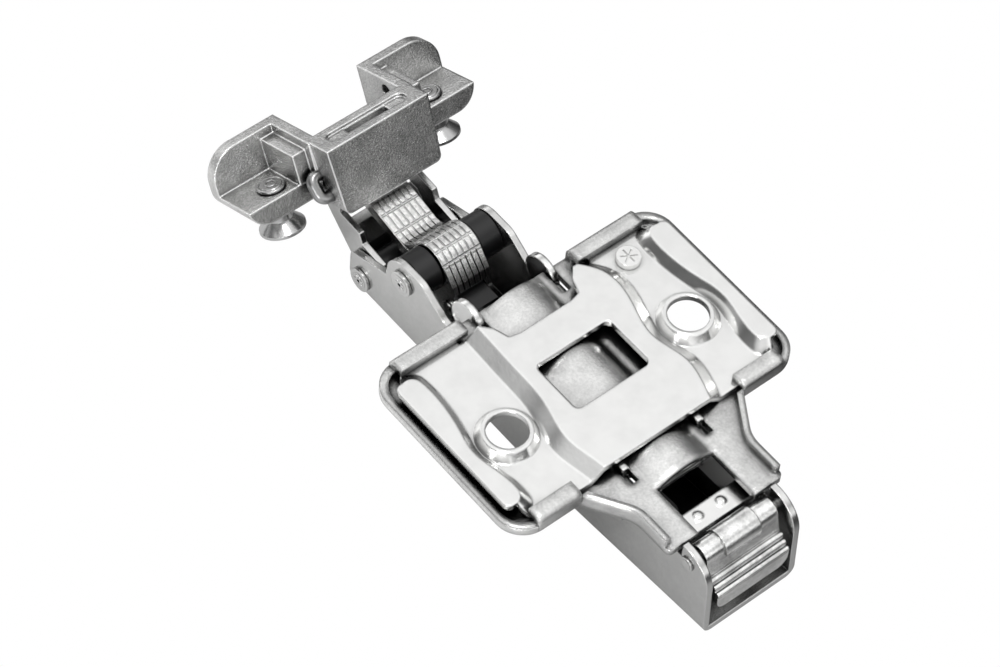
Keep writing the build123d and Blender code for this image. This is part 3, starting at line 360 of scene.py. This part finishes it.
for node in ("outer_link_pin", "inner_link_pin", "tie_pin"):
    low_corner, high_corner = [Vector(corner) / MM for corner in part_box(node)]
    middle = (low_corner + high_corner) / 2
    head_width = high_corner.z - low_corner.z
    bm = bmesh.new()
    for head_y in (low_corner.y, high_corner.y):
        star_mark(bm, (middle.x, head_y, middle.z), head_width * STAR_SHARE)
    soften(bm, bm.edges[:], STAR_ROUNDING)
    finish_piece(f"{node}_peening", bm, "arm", pin_steel)


# Rolled rim and dimple of each clamp screw's peened end
SCREW_FORWARD = 6.0
SCREW_ACROSS = 14.0
SCREW_END = 2.9
RIM_DROP = 0.35
RIM_R = 1.85
RIM_WIRE_R = 0.3
DIMPLE_R = 0.75
DIMPLE_WIRE_R = 0.16


def ring(bm, centre, axis, radius, wire_radius):
    """Adds a round ring; vertices that are tagged belong to rings placed before."""
    circle = bmesh.ops.create_circle(bm, segments=10, radius=wire_radius)["verts"]
    bmesh.ops.rotate(bm, matrix=Matrix.Rotation(math.pi / 2, 3, "X"), verts=circle)
    bmesh.ops.translate(bm, vec=(radius, 0, 0), verts=circle)
    outline = circle + list({edge for vert in circle for edge in vert.link_edges})
    bmesh.ops.spin(
        bm, geom=outline, cent=(0, 0, 0), axis=(0, 0, 1), angle=2 * math.pi, steps=36, use_merge=True,
    )
    turned = [vert for vert in bm.verts if not vert.tag]
    bmesh.ops.rotate(bm, matrix=axis.to_track_quat("Z", "Y").to_matrix(), verts=turned)
    bmesh.ops.translate(bm, vec=centre, verts=turned)
    for vert in bm.verts:
        vert.tag = True


for side, node in ((1, "left_clamp_screw"), (-1, "right_clamp_screw")):
    across = side * SCREW_ACROSS
    bm = bmesh.new()
    ring(bm, in_fitting(SCREW_FORWARD, across, SCREW_END - RIM_DROP), UPWARD, RIM_R, RIM_WIRE_R)
    ring(bm, in_fitting(SCREW_FORWARD, across, SCREW_END), UPWARD, DIMPLE_R, DIMPLE_WIRE_R)
    finish_piece(f"{node}_rim", bm, "door", screw_steel)


# Floor of the pocket in the fitting's roof, which closes it below
POCKET_REAR = -2.3
POCKET_FRONT = 2.1
POCKET_HALF_WIDTH = 7.3
POCKET_DEPTH = 7.45
POCKET_FLOOR = 0.4
bm = bmesh.new()
corners = bmesh.ops.create_cube(bm, size=1)["verts"]
bmesh.ops.scale(bm, vec=(POCKET_FRONT - POCKET_REAR, 2 * POCKET_HALF_WIDTH, POCKET_FLOOR), verts=corners)
bmesh.ops.rotate(bm, matrix=Matrix.Rotation(TILT, 3, "Y"), verts=corners)
middle = in_fitting((POCKET_FRONT + POCKET_REAR) / 2, 0, POCKET_DEPTH - POCKET_FLOOR / 2)
bmesh.ops.translate(bm, vec=middle, verts=corners)
finish_piece("roof_pocket_floor", bm, "door", cast_zinc)


# Camera, solved from the plate's outline and holes in the photograph
AZIMUTH = math.radians(135.498)
ELEVATION = math.radians(54.117)
ROLL = math.radians(6.297)
LENS = 140.4                    # mm, on a sensor 36 mm wide
CAMERA_PLACE = Vector((-0.20738, 0.22319, 0.42661))
level = math.cos(ELEVATION)
back = Vector((math.cos(AZIMUTH) * level, math.sin(AZIMUTH) * level, math.sin(ELEVATION)))
right = (-back).cross(Vector((0, 0, 1))).normalized()
up = right.cross(-back)
side = math.cos(ROLL) * right + math.sin(ROLL) * up
top = -math.sin(ROLL) * right + math.cos(ROLL) * up
eye = bpy.data.cameras.new("camera")
eye.lens = LENS
eye.sensor_width = 36
eye.clip_start = 0.01
camera = bpy.data.objects.new("camera", eye)
bpy.context.scene.collection.objects.link(camera)
camera.matrix_world = Matrix.Translation(CAMERA_PLACE) @ Matrix((side, top, back)).transposed().to_4x4()
bpy.context.scene.camera = camera

# White floor just below the hinge: plain white to look at, and painted shade, dark to bright across it, in
# what the metal reflects
HINGE_MIDDLE = (0.01, 0, 0)
FLOOR_DROP = 0.021
FLOOR_FALL = 0.06               # m each way over which the reflected floor goes from dark to bright
FLOOR_GREYS = [(0.0, 0.04), (0.17, 0.09), (0.3, 0.34), (0.6, 0.5), (0.75, 0.76), (1.0, 0.85)]
bpy.ops.mesh.primitive_plane_add(size=3, location=(HINGE_MIDDLE[0], 0, -FLOOR_DROP))
floor = bpy.context.object
floor.name = "floor"
paper = bpy.data.materials.new("white_floor")      # matt paper, white to look at, with painted shade in its colour
paper.use_nodes = True
tree = paper.node_tree
ray = add(tree, "ShaderNodeLightPath")
place = add(tree, "ShaderNodeTexCoord")
across = add(
    tree, "ShaderNodeVectorMath", {"operation": "DOT_PRODUCT", 1: (0.25, 0.97, 0)},
    (place.outputs["Object"],),
)
fall = add(
    tree, "ShaderNodeMapRange", {"From Min": -FLOOR_FALL, "From Max": FLOOR_FALL},
    Value=across.outputs["Value"],
)
shade = add(tree, "ShaderNodeValToRGB", Fac=fall.outputs["Result"])
ramp(shade, FLOOR_GREYS)
matt = add(tree, "ShaderNodeBsdfDiffuse", Color=shade.outputs["Color"])
plain = add(tree, "ShaderNodeEmission", {"Color": (1, 1, 1, 1), "Strength": 1.0})
both = add(
    tree, "ShaderNodeMixShader", {},
    (ray.outputs["Is Camera Ray"], matt.outputs["BSDF"], plain.outputs["Emission"]),
)
tree.links.new(both.outputs["Shader"], tree.nodes["Material Output"].inputs["Surface"])
floor.data.materials.append(paper)

# Studio surround: bright above, dark at the horizon, with a bright wall in front and behind
SKY_GREYS = [(0.0, 0.1), (0.45, 0.05), (0.65, 0.1), (0.78, 0.28), (0.86, 0.85), (0.92, 1.0), (1.0, 1.0)]
world = bpy.data.worlds.new("studio")
bpy.context.scene.world = world
world.use_nodes = True
tree = world.node_tree
place = add(tree, "ShaderNodeTexCoord")
split = add(tree, "ShaderNodeSeparateXYZ", Vector=place.outputs["Generated"])
height = add(tree, "ShaderNodeMapRange", {"From Min": -1.0, "From Max": 1.0}, Value=split.outputs["Z"])
grade = add(tree, "ShaderNodeValToRGB", Fac=height.outputs["Result"])
ramp(grade, SKY_GREYS)
either = add(tree, "ShaderNodeMath", {"operation": "ABSOLUTE"}, Value=split.outputs["X"])
sideways = add(
    tree, "ShaderNodeMapRange", {"From Min": 0.5, "From Max": 0.9, "To Min": 0.0, "To Max": 1.2},
    Value=either.outputs["Value"],
)
raised = add(tree, "ShaderNodeMapRange", {"From Min": 0.08, "From Max": 0.18}, Value=split.outputs["Z"])
wall = add(
    tree, "ShaderNodeMath", {"operation": "MULTIPLY"},
    (sideways.outputs["Result"], raised.outputs["Result"]),
)
greys = add(
    tree, "ShaderNodeMixRGB", {"blend_type": "LIGHTEN", "Fac": 1.0},
    Color1=grade.outputs["Color"], Color2=wall.outputs["Value"],
)
patches = add(tree, "ShaderNodeTexNoise", {"Scale": 2.2, "Detail": 1}, Vector=place.outputs["Generated"])
uneven = add(
    tree, "ShaderNodeMapRange", {"From Min": 0.3, "From Max": 0.7, "To Min": 0.95, "To Max": 1.35},
    Value=patches.outputs["Fac"],
)
ray = add(tree, "ShaderNodeLightPath")
surround = add(
    tree, "ShaderNodeBackground",
    Color=greys.outputs["Color"], Strength=uneven.outputs["Result"],
)
white = add(tree, "ShaderNodeBackground", {"Color": (1, 1, 1, 1), "Strength": 1.0})
both = add(
    tree, "ShaderNodeMixShader", {},
    (ray.outputs["Is Camera Ray"], surround.outputs["Background"], white.outputs["Background"]),
)
tree.links.new(both.outputs["Shader"], tree.nodes["World Output"].inputs["Surface"])


def soft_box(name, spot, size, power):
    """A rectangular lamp that faces the hinge, in metres and watts."""
    lamp = bpy.data.lights.new(name, "AREA")
    lamp.shape = "RECTANGLE"
    lamp.size, lamp.size_y = size
    lamp.energy = power
    box = bpy.data.objects.new(name, lamp)
    bpy.context.scene.collection.objects.link(box)
    box.location = spot
    box.rotation_euler = (Vector(HINGE_MIDDLE) - Vector(spot)).to_track_quat("-Z", "Y").to_euler()


soft_box("top_strip", (-0.05, 0.12, 0.9), (0.12, 0.5), 2.2)
soft_box("left_fill", (-0.5, 0.75, 0.3), (0.5, 0.25), 2.5)

bpy.context.scene.view_settings.view_transform = "Standard"
